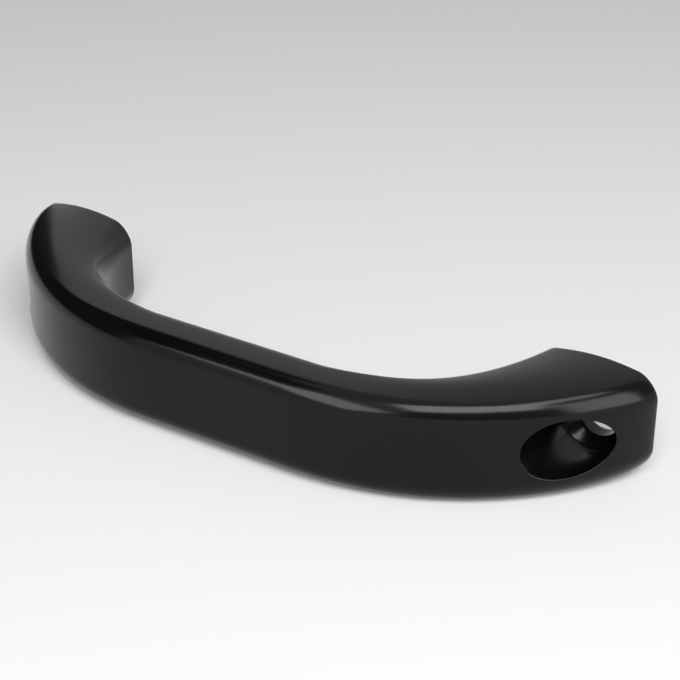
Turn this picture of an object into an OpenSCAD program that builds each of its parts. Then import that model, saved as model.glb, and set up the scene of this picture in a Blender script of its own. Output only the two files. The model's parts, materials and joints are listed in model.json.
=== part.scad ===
/* [Overall] */
// Length over the outer ends of the two feet
overall_length = 200; // [170:1:240]
// Depth from the mounting plane to the front of the grip
overall_depth = 52.4; // [48:0.2:64]

/* [Grip] */
// Thickness of the grip, front to back
grip_thickness = 15.8; // [13:0.2:18]
// Height of the grip at its crown
grip_height = 27.4; // [24:0.2:32]
// Rise of the slightly domed top and bottom of the grip
grip_crown = 0.3; // [0:0.1:1.5]
// Radius along the front edges of the grip
front_radius = 4.7; // [3:0.1:6]
// Radius along the back edges of the grip
back_radius = 5.3; // [3:0.1:6]
// Length of the straight stretch in the middle of the front face
front_flat = 44; // [20:1:60]
// Length of the straight stretch in the middle of the back face
back_flat = 48; // [20:1:60]

/* [Shoulders] */
// How far the front face carries on before it turns down to the foot
front_reach = 53; // [40:1:60]
// How far the outer end stays square above the mounting plane
heel_reach = 7; // [3:0.5:14]
// How far the back face carries on before it turns down to the foot
back_reach = 11; // [6:1:20]
// How far the inner wall of a foot runs up towards the grip
inner_reach = 42; // [34:1:46]
// Lean of the inner wall of a foot, in degrees from square
inner_lean = 13.8; // [6:0.2:18]

/* [Feet] */
// Length of a foot on the mounting plane
foot_length = 33.9; // [30:0.1:38]
// Height of a foot at its crown
foot_height = 29.9; // [28:0.1:34]
// Rise of the domed top and bottom of a foot
foot_crown = 2.6; // [0.5:0.1:3.5]
// Radius along the edges of a foot
foot_radius = 5.7; // [4:0.1:7]
// Small radius where a foot meets the mounting plane
rim_radius = 0.6; // [0.3:0.1:1]

/* [Screw holes] */
// Distance from the outer end of a foot to its screw's axis
hole_inset = 13.5; // [12.5:0.1:16]
// Bore that the shank of a screw goes through
hole_diameter = 10.4; // [6.4:0.2:11]
// Deep recess that the head of a screw goes down
recess_diameter = 16.4; // [14:0.2:17]
// Included angle of the countersunk seat, in degrees
seat_angle = 90; // [80:1:120]
// Wall under the seat
seat_wall = 4; // [3:0.2:6]

/* [Smoothness] */
// Steps along each shoulder
bend_steps = 40; // [16:1:44]
// Steps round each long edge
corner_steps = 9; // [4:1:10]
// Steps across the domed top and bottom
crown_steps = 6; // [3:1:6]

/* [Hidden] */
rim_steps = 3;
half_length = overall_length / 2;
foot_inner = half_length - foot_length;
hole_x = half_length - hole_inset;
hole_r = hole_diameter / 2;
recess_r = recess_diameter / 2;
seat_top = seat_wall + (recess_r - hole_r) / tan(seat_angle / 2);
cut_clear = 1;
moulded_black = [0.10, 0.10, 0.105];

function mix(a, b, w) = a * (1 - w) + b * w;

function eased(t) = t * t * (3 - 2 * t);

function bezier(p, t) = pow(1 - t, 3) * p[0] + 3 * pow(1 - t, 2) * t * p[1]
    + 3 * (1 - t) * t * t * p[2] + pow(t, 3) * p[3];

// Front face and outer end of the right half, seen from above
front_curve = [
    [front_flat / 2, -overall_depth],
    [front_flat / 2 + front_reach, -overall_depth],
    [half_length, -rim_radius - heel_reach],
    [half_length, -rim_radius]
];

// Back face of the grip and inner wall of the right foot, seen from above
back_curve = [
    [back_flat / 2, grip_thickness - overall_depth],
    [back_flat / 2 + back_reach, grip_thickness - overall_depth],
    [foot_inner - inner_reach * sin(inner_lean), -rim_radius - inner_reach * cos(inner_lean)],
    [foot_inner, -rim_radius]
];

// A quarter circle about centre c, from angle a, turning clockwise
function corner(c, r, a) = [
    for (k = [0:corner_steps])
        let (turned = a - 90 * k / corner_steps)
        c + r * [cos(turned), sin(turned)]
];

// Points between two long edges, at one height
function across(u0, u1, z) = [for (k = [1:crown_steps - 1]) [mix(u0, u1, k / crown_steps), z]];

// Rounded rectangle with u from 0 at the front to len at the back, shrunk by inset
function outline(len, h, rf, rb, inset) =
    let (
        f = max(rf - inset, 0.2),
        b = max(rb - inset, 0.2),
        u0 = inset,
        u1 = len - inset,
        z = h / 2 - inset
    )
    concat(
        corner([u0 + f, z - f], f, 180),
        across(u0 + f, u1 - b, z),
        corner([u1 - b, z - b], b, 90),
        corner([u1 - b, b - z], b, 0),
        across(u1 - b, u0 + f, -z),
        corner([u0 + f, f - z], f, -90)
    );

// Lifts the top and bottom into a shallow dome that fades out down the sides
function domed(p, len, h, crown) =
    let (rise = crown * (1 - pow(2 * p.x / len - 1, 2)), fade = pow(min(1, 2 * abs(p.y) / h), 4))
    [p.x, p.y + sign(p.y) * rise * fade];

// One section of the handle: t runs from 0 on the grip to 1 on a foot
function section(side, t, inset, y_shift) =
    let (
        w = eased(t),
        front = bezier(front_curve, t),
        back = bezier(back_curve, t),
        len = norm(back - front),
        along = (back - front) / len,
        crown = mix(grip_crown, foot_crown, w),
        h = mix(grip_height, foot_height, w) - 2 * crown,
        rf = mix(front_radius, foot_radius, w),
        rb = mix(back_radius, foot_radius, w)
    )
    [
        for (p = outline(len, h, rf, rb, inset))
            let (q = domed(p, len, h, crown), s = front + along * q.x)
            [side * s.x, s.y + y_shift, q.y]
    ];

// Sections of one half, from the small radius at the mounting plane to the grip
function half_sections(side) = concat(
    [
        for (k = [rim_steps:-1:1])
            let (a = 90 * k / rim_steps)
            section(side, 1, rim_radius * (1 - cos(a)), rim_radius * sin(a))
    ],
    [for (k = [bend_steps:-1:0]) section(side, k / bend_steps, 0, 0)]
);

function reversed(list) = [for (k = [len(list) - 1:-1:0]) list[k]];

// Skin over a row of sections, closed by a flat face at each end
module loft(sections) {
    n = len(sections);
    m = len(sections[0]);
    skin = [
        for (i = [0:n - 2], j = [0:m - 1])
            let (a = i * m + j, b = i * m + (j + 1) % m)
            each [[a, a + m, b], [b, a + m, b + m]]
    ];
    first_end = [for (j = [0:m - 1]) j];
    last_end = [for (j = [m - 1:-1:0]) (n - 1) * m + j];
    polyhedron([for (s = sections) each s], concat([first_end, last_end], skin), convexity = 6);
}

// Bore, countersunk seat and head recess, as one turned shape on the screw's axis
module screw_hole() {
    rotate([90, 0, 0])
        rotate_extrude($fn = 96)
            polygon([
                [0, -cut_clear],
                [hole_r, -cut_clear],
                [hole_r, seat_wall],
                [recess_r, seat_top],
                [recess_r, overall_depth + cut_clear],
                [0, overall_depth + cut_clear]
            ]);
}

module handle() {
    color(moulded_black)
        difference() {
            loft(concat(half_sections(-1), reversed(half_sections(1))));
            for (side = [-1, 1])
                translate([side * hole_x, 0, 0])
                    screw_hole();
        }
}

handle();
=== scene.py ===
import json
import math

import bmesh
import bpy
from mathutils import Matrix, Vector


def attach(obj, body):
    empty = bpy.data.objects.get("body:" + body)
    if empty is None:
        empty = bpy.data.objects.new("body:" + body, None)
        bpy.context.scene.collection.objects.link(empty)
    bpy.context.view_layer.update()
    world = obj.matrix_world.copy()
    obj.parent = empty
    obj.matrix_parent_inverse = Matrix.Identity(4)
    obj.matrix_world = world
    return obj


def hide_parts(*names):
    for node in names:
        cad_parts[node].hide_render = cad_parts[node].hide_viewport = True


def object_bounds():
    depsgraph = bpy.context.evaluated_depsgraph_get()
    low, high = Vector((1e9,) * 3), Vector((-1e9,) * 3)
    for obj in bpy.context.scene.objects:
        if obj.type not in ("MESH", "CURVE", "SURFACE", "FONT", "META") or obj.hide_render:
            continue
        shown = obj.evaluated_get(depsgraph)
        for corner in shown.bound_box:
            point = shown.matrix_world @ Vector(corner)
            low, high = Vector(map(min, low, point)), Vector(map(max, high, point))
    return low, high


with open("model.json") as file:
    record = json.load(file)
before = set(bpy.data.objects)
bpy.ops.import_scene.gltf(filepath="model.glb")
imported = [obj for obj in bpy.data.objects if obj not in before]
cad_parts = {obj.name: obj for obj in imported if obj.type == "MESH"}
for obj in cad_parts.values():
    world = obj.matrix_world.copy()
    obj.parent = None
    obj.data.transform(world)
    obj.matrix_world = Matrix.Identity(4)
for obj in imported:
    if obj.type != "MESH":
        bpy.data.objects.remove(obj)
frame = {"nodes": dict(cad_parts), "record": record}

cadLow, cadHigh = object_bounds()
scene = bpy.context.scene
mm = 0.001
print("frame loaded:", ", ".join(frame["nodes"]))


# Helpers used by more than one piece

def mixed(a, b, w):
    return a * (1 - w) + b * w


def eased(t):
    return t * t * (3 - 2 * t)


def bezier(p, t):
    s = 1 - t
    return p[0] * s**3 + p[1] * 3 * s * s * t + p[2] * 3 * s * t * t + p[3] * t**3


def towards(azimuth, elevation):
    # azimuth 0 is the front of the grip and 90 is its right end
    a, e = math.radians(azimuth), math.radians(elevation)
    return Vector((math.sin(a) * math.cos(e), -math.cos(a) * math.cos(e), math.sin(e)))


def meshObject(name, bm):
    mesh = bpy.data.meshes.new(name)
    bm.to_mesh(mesh)
    bm.free()
    thing = bpy.data.objects.new(name, mesh)
    scene.collection.objects.link(thing)
    return thing


def newMaterial(name):
    material = bpy.data.materials.new(name)
    material.use_nodes = True
    material.node_tree.nodes.clear()
    return material, material.node_tree.nodes, material.node_tree.links


# Camera: the photograph's own viewing angle

camera = {
    "place": (0.23852, -0.35655, 0.22177),
    "azimuth": 33.078,
    "elevation": 27.875,
    "roll": 0.146,
    "lens": 92.71,
}


def makeCamera(c):
    data = bpy.data.cameras.new("camera")
    data.sensor_width = 36
    data.lens = c["lens"]
    data.clip_start, data.clip_end = 0.01, 20
    thing = bpy.data.objects.new("camera", data)
    turn = Matrix.Rotation(math.radians(c["azimuth"]), 4, "Z")
    tilt = Matrix.Rotation(math.radians(90 - c["elevation"]), 4, "X")
    roll = Matrix.Rotation(math.radians(c["roll"]), 4, "Z")
    thing.matrix_world = Matrix.Translation(c["place"]) @ turn @ tilt @ roll
    scene.collection.objects.link(thing)
    scene.camera = thing


makeCamera(camera)
print("camera placed")


# Handle: millimetres, on the same plan curves as the solid

handle = {
    "halfLength": cadHigh.x / mm,
    "depth": -cadLow.y / mm,
    "gripThick": 15.8,
    "gripHigh": 27.4,
    "footHigh": (cadHigh.z - cadLow.z) / mm,
    "gripCrown": 0.3,
    "footCrown": 2.6,
    "frontRadius": 4.7,
    "backRadius": 5.3,
    "footRadius": 5.7,
    "rimRadius": 0.6,       # where a foot meets the roof
    "footLong": 33.9,
    "frontFlat": 22.0,      # half of each straight stretch
    "backFlat": 24.0,
    "frontReach": 53.0,     # pulls of the two plan curves
    "heelReach": 7.0,
    "backReach": 11.0,
    "innerReach": 42.0,
    "innerLean": 13.8,
    "mouthRound": 0.5,      # width of the rolled edge round the recess
    "seatRound": 0.25,
    "boreRound": 0.2,
}

fineness = {
    "sideHalf": 12,         # faces from the middle of a side to its corner
    "corner": 16,
    "crown": 14,
    "bend": 150,
    "flat": 6,
    "rim": 4,
    "patchSpots": 20,       # the patch that is opened round the recess
    "patchLow": 0.42,
    "patchHigh": 0.84,
    "patchLoops": 8,
    "mouthSpare": 0.9,
    "wallLoops": 10,
    "sharpFrom": 40,
}


def holeSizes(mounts):
    dims = {m["name"]: m["dims"] for m in mounts}
    return {
        "holeX": dims["screw_holes"]["spacing_x_mm"] / 2,
        "boreR": dims["right_screw_bore"]["r_mm"],
        "seatWall": dims["right_screw_bore"]["length_mm"],
        "recessR": dims["right_head_recess"]["r_mm"],
    }


def planCurves(h):
    lean = math.radians(h["innerLean"])
    innerX = h["halfLength"] - h["footLong"]
    backY = h["gripThick"] - h["depth"]
    rim = -h["rimRadius"]
    up = Vector((math.sin(lean), math.cos(lean))) * h["innerReach"]
    front = [
        Vector((h["frontFlat"], -h["depth"])),
        Vector((h["frontFlat"] + h["frontReach"], -h["depth"])),
        Vector((h["halfLength"], rim - h["heelReach"])),
        Vector((h["halfLength"], rim)),
    ]
    back = [
        Vector((h["backFlat"], backY)),
        Vector((h["backFlat"] + h["backReach"], backY)),
        Vector((innerX, rim)) - up,
        Vector((innerX, rim)),
    ]
    return {"front": front, "back": back}


def sectionAt(h, t):
    # t runs from 0 on the grip to 1 where a foot meets the roof
    w = eased(t)
    front, back = bezier(h["front"], t), bezier(h["back"], t)
    crown = mixed(h["gripCrown"], h["footCrown"], w)
    return {
        "front": front,
        "along": (back - front).normalized(),
        "deep": (back - front).length,
        "crown": crown,
        "half": mixed(h["gripHigh"], h["footHigh"], w) / 2 - crown,
        "frontR": mixed(h["frontRadius"], h["footRadius"], w),
        "backR": mixed(h["backRadius"], h["footRadius"], w),
    }


def skinPoint(c, spot, inset=0.0):
    # spot counts faces round a section: 0 is the middle of the front, below it is negative
    side, corner, crown = fineness["sideHalf"], fineness["corner"], fineness["crown"]
    s = abs(spot)
    half, f, b = c["half"] - inset, c["frontR"] - inset, c["backR"] - inset
    near, far = inset, c["deep"] - inset
    if s <= side:
        u, z = near, (half - f) * s / side
    elif s <= side + corner:
        a = math.pi / 2 * (s - side) / corner
        u, z = near + f - f * math.cos(a), half - f + f * math.sin(a)
    elif s <= side + corner + crown:
        u, z = mixed(near + f, far - b, (s - side - corner) / crown), half
    elif s <= side + 2 * corner + crown:
        a = math.pi / 2 * (s - side - corner - crown) / corner
        u, z = far - b + b * math.sin(a), half - b + b * math.cos(a)
    else:
        u, z = far, (half - b) * (1 - (s - side - 2 * corner - crown) / side)
    rise = c["crown"] * (1 - (2 * u / c["deep"] - 1) ** 2)
    z += rise * min(1, z / c["half"]) ** 4
    place = c["front"] + c["along"] * u
    return Vector((place.x, place.y, math.copysign(z, spot)))


def findOnFront(h, x, z, t, spot):
    # walks over the skin until it stands at this x and z
    dt, ds = 1e-4, 1e-3
    for step in range(12):
        here = sectionAt(h, t)
        p = skinPoint(here, spot)
        ex, ez = x - p.x, z - p.z
        if abs(ex) + abs(ez) < 1e-7:
            break
        alongT = (skinPoint(sectionAt(h, t + dt), spot) - p) / dt
        alongS = (skinPoint(here, spot + ds) - p) / ds
        area = alongT.x * alongS.z - alongS.x * alongT.z
        t += (ex * alongS.z - ez * alongS.x) / area
        spot += (ez * alongT.x - ex * alongT.z) / area
    return t, spot


def extrudeLoop(bm, edges):
    made = bmesh.ops.extrude_edge_only(bm, edges=edges)["geom"]
    verts = {g for g in made if isinstance(g, bmesh.types.BMVert)}
    return list(verts), [g for g in made if isinstance(g, bmesh.types.BMEdge)
                         and g.verts[0] in verts and g.verts[1] in verts]


def loftHalf(bm, h):
    # one ring of the section, drawn out along the plan curves from the middle to a foot
    spots, bends = bm.verts.layers.float.new("spot"), bm.verts.layers.float.new("bend")
    n = fineness
    around = 4 * n["sideHalf"] + 4 * n["corner"] + 2 * n["crown"]
    verts = bmesh.ops.create_circle(bm, segments=around, radius=1)["verts"]
    edges = list(bm.edges)
    for i, v in enumerate(verts):
        v[spots] = i if i <= around // 2 else i - around

    def lay(t, across=1.0, inset=0.0, back=0.0):
        section = sectionAt(h, t)
        for v in verts:
            p = skinPoint(section, v[spots], inset)
            v.co = (p.x * across, p.y + back, p.z)
            v[bends] = t

    lay(0, 0)
    for k in range(n["flat"]):
        verts, edges = extrudeLoop(bm, edges)
        lay(0, (k + 1) / n["flat"])
    for k in range(n["bend"]):
        verts, edges = extrudeLoop(bm, edges)
        lay((k + 1) / n["bend"])
    rim = h["rimRadius"]
    for k in range(n["rim"]):
        a = math.pi / 2 * (k + 1) / n["rim"]
        verts, edges = extrudeLoop(bm, edges)
        lay(1, 1, rim * (1 - math.cos(a)), rim * math.sin(a))
    footEdge = edges
    verts, edges = extrudeLoop(bm, edges)   # keeps the rounding's shading off the flat face
    lay(1, 1, rim * 1.6, rim)
    return spots, bends, edges


def openRecess(bm, h, spots, bends):
    n = fineness
    reach, low, high = n["patchSpots"], n["patchLow"] - 1e-4, n["patchHigh"] + 1e-4

    def inPatch(v):
        return abs(v[spots]) <= reach and low <= v[bends] <= high

    bmesh.ops.delete(bm, geom=[f for f in bm.faces if all(map(inPatch, f.verts))], context="FACES")
    edges = [e for e in bm.edges if e.is_boundary and all(map(inPatch, e.verts))]

    # each point of the patch's edge gets its own point on the mouth and on a loop just outside it
    names = ("spareT", "spareS", "mouthT", "mouthS", "turn")
    layers = {name: bm.verts.layers.float.new(name) for name in names}
    spots, bends = bm.verts.layers.float["spot"], bm.verts.layers.float["bend"]
    for v in {v for e in edges for v in e.verts}:
        turn = math.atan2(v.co.z, v.co.x - h["holeX"])
        v[layers["turn"]] = turn
        for t, s, r in (("spareT", "spareS", h["recessR"] + n["mouthSpare"]),
                        ("mouthT", "mouthS", h["recessR"])):
            x, z = h["holeX"] + r * math.cos(turn), r * math.sin(turn)
            v[layers[t]], v[layers[s]] = findOnFront(h, x, z, v[bends], v[spots])

    for k in range(n["patchLoops"]):
        verts, edges = extrudeLoop(bm, edges)
        w = (k + 1) / n["patchLoops"]
        for v in verts:
            t = mixed(v[bends], v[layers["spareT"]], w)
            s = mixed(v[spots], v[layers["spareS"]], w)
            v.co = skinPoint(sectionAt(h, t), s)
    verts, edges = extrudeLoop(bm, edges)
    for v in verts:
        v.co = skinPoint(sectionAt(h, v[layers["mouthT"]]), v[layers["mouthS"]])
    mouth = edges

    # recess wall, countersunk seat and bore, drawn down from the mouth
    def ringDown(edges, r, y):
        verts, edges = extrudeLoop(bm, edges)
        for v in verts:
            turn = v[layers["turn"]]
            high = v.co.y
            v.co = (h["holeX"] + r * math.cos(turn), y(high), r * math.sin(turn))
        return edges

    seatTop = -h["seatWall"] - (h["recessR"] - h["boreR"])     # a 90 degree countersink
    edges = ringDown(edges, h["recessR"], lambda y: y + 1.2)
    for k in range(n["wallLoops"]):
        left = n["wallLoops"] - k
        edges = ringDown(edges, h["recessR"], lambda y: y + (seatTop - 0.8 - y) / left)
    corner = edges = ringDown(edges, h["recessR"], lambda y: seatTop)
    for w in (0.2, 0.5, 0.8):
        edges = ringDown(edges, mixed(h["recessR"], h["boreR"], w),
                         lambda y: mixed(seatTop, -h["seatWall"], w))
    lip = edges = ringDown(edges, h["boreR"], lambda y: -h["seatWall"])
    for w in (0.2, 0.5, 0.8):
        edges = ringDown(edges, h["boreR"], lambda y: -h["seatWall"] * (1 - w))
    way = edges = ringDown(edges, h["boreR"], lambda y: 0)
    edges = ringDown(edges, h["boreR"] + 0.6, lambda y: 0)
    return mouth, corner, lip, way, edges


def makeHandle(h):
    h = h | holeSizes(frame["record"]["mounts"])
    h |= planCurves(h)
    bm = bmesh.new()
    spots, bends, footEdge = loftHalf(bm, h)
    mouth, corner, lip, way, boreEdge = openRecess(bm, h, spots, bends)
    bmesh.ops.triangle_fill(bm, edges=footEdge + boreEdge, use_beauty=True, normal=(0, 1, 0))
    for edges, width, steps in ((mouth, h["mouthRound"], 5), (corner, h["seatRound"], 3),
                                (lip, h["seatRound"], 3), (way, h["boreRound"], 2)):
        bmesh.ops.bevel(bm, geom=edges, offset=width, offset_type="WIDTH", segments=steps,
                        profile=0.5, affect="EDGES", material=-1)
    bmesh.ops.scale(bm, vec=(mm, mm, mm), verts=bm.verts)
    bmesh.ops.mirror(bm, geom=list(bm.verts) + list(bm.edges) + list(bm.faces), axis="X",
                     merge_dist=1e-7)
    bmesh.ops.remove_doubles(bm, verts=bm.verts, dist=1e-7)
    bmesh.ops.recalc_face_normals(bm, faces=bm.faces)
    for f in bm.faces:
        f.smooth = True
    loose = [e for e in bm.edges if not e.is_manifold]
    print("handle:", len(bm.faces), "faces,", len(loose), "open edges")
    thing = meshObject("grabHandle", bm)
    thing.data.set_sharp_from_angle(angle=math.radians(fineness["sharpFrom"]))
    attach(thing, "root")
    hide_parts("handle")
    return thing


grabHandle = makeHandle(handle)
print("handle modelled")


# Plastic: black and satin, with the faint unevenness of a moulded skin

plastic = {
    "colour": (0.0026, 0.0026, 0.0027, 1),
    "paleColour": (0.0034, 0.0034, 0.0035, 1),
    "roughness": 0.16,
    "specular": 0.21,
    "skinSize": 1.6,        # millimetres, as are the sizes below
    "skinLift": 0.004,
    "hazeSize": 30.0,
    "hazeDepth": 0.03,
    "scuffLong": 9.0,
    "scuffWide": 0.25,
    "scuffDepth": 0.05,
}


def moulded(p):
    material, nodes, links = newMaterial("mouldedBlackPlastic")
    output = nodes.new("ShaderNodeOutputMaterial")
    shader = nodes.new("ShaderNodeBsdfPrincipled")
    shader.inputs["Specular IOR Level"].default_value = p["specular"]
    shader.inputs["IOR"].default_value = 1.5
    links.new(shader.outputs["BSDF"], output.inputs["Surface"])
    place = nodes.new("ShaderNodeTexCoord").outputs["Object"]

    def noise(size, detail, stretch=(1, 1, 1)):
        fit = nodes.new("ShaderNodeMapping")
        fit.inputs["Scale"].default_value = stretch
        links.new(place, fit.inputs["Vector"])
        texture = nodes.new("ShaderNodeTexNoise")
        texture.inputs["Scale"].default_value = 1 / (size * mm)
        texture.inputs["Detail"].default_value = detail
        links.new(fit.outputs["Vector"], texture.inputs["Vector"])
        return texture.outputs["Fac"]

    def spread(value, low, high, toLow, toHigh):
        node = nodes.new("ShaderNodeMapRange")
        for name, number in (("From Min", low), ("From Max", high),
                             ("To Min", toLow), ("To Max", toHigh)):
            node.inputs[name].default_value = number
        links.new(value, node.inputs["Value"])
        return node.outputs["Result"]

    def added(a, b):
        node = nodes.new("ShaderNodeMath")
        links.new(a, node.inputs[0])
        links.new(b, node.inputs[1])
        return node.outputs["Value"]

    haze = noise(p["hazeSize"], 3)
    base = p["roughness"]
    roughness = spread(haze, 0.3, 0.7, base - p["hazeDepth"], base + p["hazeDepth"])
    long = p["scuffWide"] / p["scuffLong"]
    scuffs = spread(noise(p["scuffWide"], 2, (long, 1, 1)), 0.62, 0.8, 0, p["scuffDepth"])
    links.new(added(roughness, scuffs), shader.inputs["Roughness"])

    tint = nodes.new("ShaderNodeMix")
    tint.data_type = "RGBA"
    tint.inputs["A"].default_value = p["colour"]
    tint.inputs["B"].default_value = p["paleColour"]
    links.new(spread(haze, 0.35, 0.65, 0, 1), tint.inputs["Factor"])
    links.new(tint.outputs["Result"], shader.inputs["Base Color"])

    skin = nodes.new("ShaderNodeBump")
    skin.inputs["Strength"].default_value = 1
    skin.inputs["Distance"].default_value = p["skinLift"] * mm
    links.new(noise(p["skinSize"], 1), skin.inputs["Height"])
    links.new(skin.outputs["Normal"], shader.inputs["Normal"])
    return material


grabHandle.data.materials.append(moulded(plastic))
print("plastic made")


# Studio: pale floor, white surround, four softboxes and black cards that only reflections see

studio = {
    "floorY": cadLow.z,
    "floorHalf": 4.0,
    "floorColour": (0.9, 0.9, 0.9, 1),
    "floorGlow": 0.08,
    "ambient": 0.25,
    "away": 1.0,
    "shadowLamps": ("keySoftbox",),
}

softboxes = {               # azimuth, elevation, degrees wide, degrees high, turn, brightness
    "frontSoftbox": (-12, 24, 22, 48, 45, 5.2),
    "keySoftbox": (42, 44, 42, 30, 0, 8.0),
    "highSoftbox": (92, 55, 23, 18, 0, 5.0),
    "sideSoftbox": (88, 18, 31, 32, 0, 4.0),
}

cards = {                   # azimuth from and to, elevation from and to, grey
    "leftCard": (-127, -40, -8, 62, 0.04),
    "frontCard": (16, 70, -6, 24, 0.2),
    "rightCard": (107, 140, 8, 56, 0.3),
}


def makeFloor(s):
    bm = bmesh.new()
    bmesh.ops.create_grid(bm, x_segments=8, y_segments=8, size=s["floorHalf"])
    bmesh.ops.translate(bm, verts=bm.verts, vec=(0, 0, s["floorY"]))
    floor = meshObject("floor", bm)
    material, nodes, links = newMaterial("paleFloor")
    output = nodes.new("ShaderNodeOutputMaterial")
    paper = nodes.new("ShaderNodeBsdfDiffuse")
    paper.inputs["Color"].default_value = s["floorColour"]
    glow = nodes.new("ShaderNodeEmission")
    both = nodes.new("ShaderNodeAddShader")
    links.new(seenRays(nodes, links, s["floorGlow"], 0), glow.inputs["Strength"])
    links.new(paper.outputs["BSDF"], both.inputs[0])
    links.new(glow.outputs["Emission"], both.inputs[1])
    links.new(both.outputs["Shader"], output.inputs["Surface"])
    floor.data.materials.append(material)


def seenRays(nodes, links, seen, unseen):
    # one strength for what is looked at or mirrored, another for what only lights the object
    path = nodes.new("ShaderNodeLightPath")
    total = path.outputs["Is Camera Ray"]
    for name in ("Is Glossy Ray", "Is Transmission Ray"):
        step = nodes.new("ShaderNodeMath")
        step.use_clamp = True
        links.new(total, step.inputs[0])
        links.new(path.outputs[name], step.inputs[1])
        total = step.outputs["Value"]
    strength = nodes.new("ShaderNodeMapRange")
    strength.inputs["To Min"].default_value = unseen
    strength.inputs["To Max"].default_value = seen
    links.new(total, strength.inputs["Value"])
    return strength.outputs["Result"]


def makeSurround(s):
    world = bpy.data.worlds.new("surround")
    world.use_nodes = True
    scene.world = world
    nodes, links = world.node_tree.nodes, world.node_tree.links
    nodes.clear()
    output = nodes.new("ShaderNodeOutputWorld")
    sky = nodes.new("ShaderNodeBackground")
    links.new(seenRays(nodes, links, 1, s["ambient"]), sky.inputs["Strength"])
    links.new(sky.outputs["Background"], output.inputs["Surface"])


def makeSoftbox(name, azimuth, elevation, wide, high, turn, brightness):
    data = bpy.data.lights.new(name, "AREA")
    data.shape = "RECTANGLE"
    data.size = 2 * studio["away"] * math.tan(math.radians(wide / 2))
    data.size_y = 2 * studio["away"] * math.tan(math.radians(high / 2))
    data.energy = brightness * math.pi * data.size * data.size_y
    lamp = bpy.data.objects.new(name, data)
    out = towards(azimuth, elevation)
    facing = (-out).to_track_quat("-Z", "Y").to_matrix().to_4x4()
    lamp.matrix_world = (Matrix.Translation(out * studio["away"]) @ facing
                         @ Matrix.Rotation(math.radians(turn), 4, "Z"))
    lamp.visible_diffuse = name in studio["shadowLamps"]
    scene.collection.objects.link(lamp)


def makeCard(name, fromAz, toAz, fromEl, toEl, grey):
    # a curved card: a grid bent round the object
    bm = bmesh.new()
    bmesh.ops.create_grid(bm, x_segments=16, y_segments=12, size=1)
    for v in bm.verts:
        azimuth = mixed(fromAz, toAz, (v.co.x + 1) / 2)
        elevation = mixed(fromEl, toEl, (v.co.y + 1) / 2)
        v.co = towards(azimuth, elevation) * studio["away"] * 1.3
    card = meshObject(name, bm)
    card.visible_camera = card.visible_diffuse = card.visible_shadow = False
    card.visible_transmission = False
    material, nodes, links = newMaterial(name)
    output = nodes.new("ShaderNodeOutputMaterial")
    glow = nodes.new("ShaderNodeEmission")
    glow.inputs["Color"].default_value = (grey, grey, grey, 1)
    links.new(glow.outputs["Emission"], output.inputs["Surface"])
    card.data.materials.append(material)


makeFloor(studio)
makeSurround(studio)
for name, values in softboxes.items():
    makeSoftbox(name, *values)
for name, values in cards.items():
    makeCard(name, *values)
scene.view_settings.view_transform = "Standard"
print("studio set")
